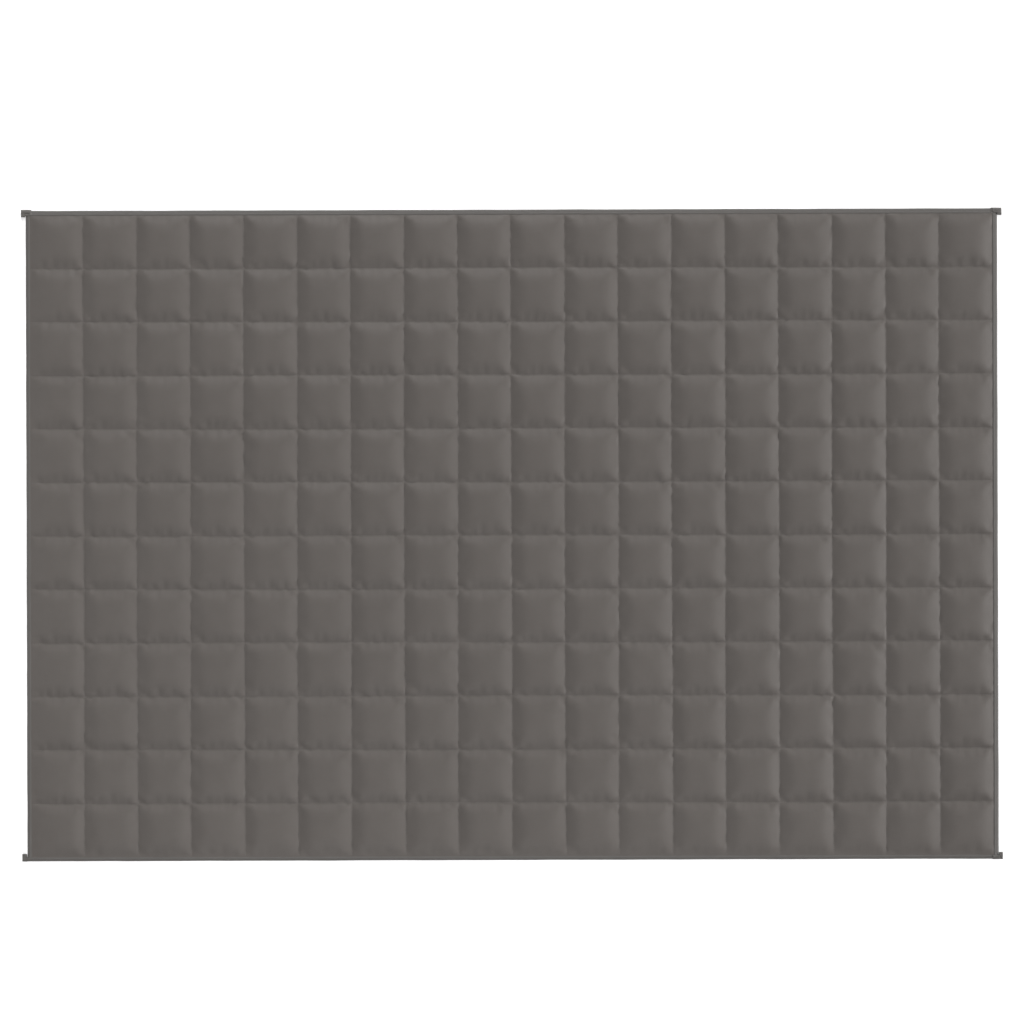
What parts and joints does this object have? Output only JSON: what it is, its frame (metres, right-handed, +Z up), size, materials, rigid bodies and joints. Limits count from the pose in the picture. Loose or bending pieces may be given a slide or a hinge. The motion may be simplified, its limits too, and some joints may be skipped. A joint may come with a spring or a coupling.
{
  "type": "weighted blanket",
  "caption": "Rectangular weighted blanket lying flat, quilted into square filled pockets, with bound edges that end in a short fold at each corner.",
  "frame": {"origin": "middle of the blanket's outline, on the surface it lies on", "axes": "+X along the long side, +Y along the short side, +Z up through the thickness"},
  "size_m": [1.835, 1.2194, 0.0131],
  "materials": {
    "quilt_cloth": "warm grey close-woven cotton, matt with a faint sheen",
    "binding_tape": "grey twill tape, matt, slightly cooler than the cloth"
  },
  "bodies": {
    "root": {"quilted_body": "quilt_cloth", "binding_left": "binding_tape", "binding_right": "binding_tape", "binding_head": "binding_tape", "binding_foot": "binding_tape"}
  },
  "joints": []
}
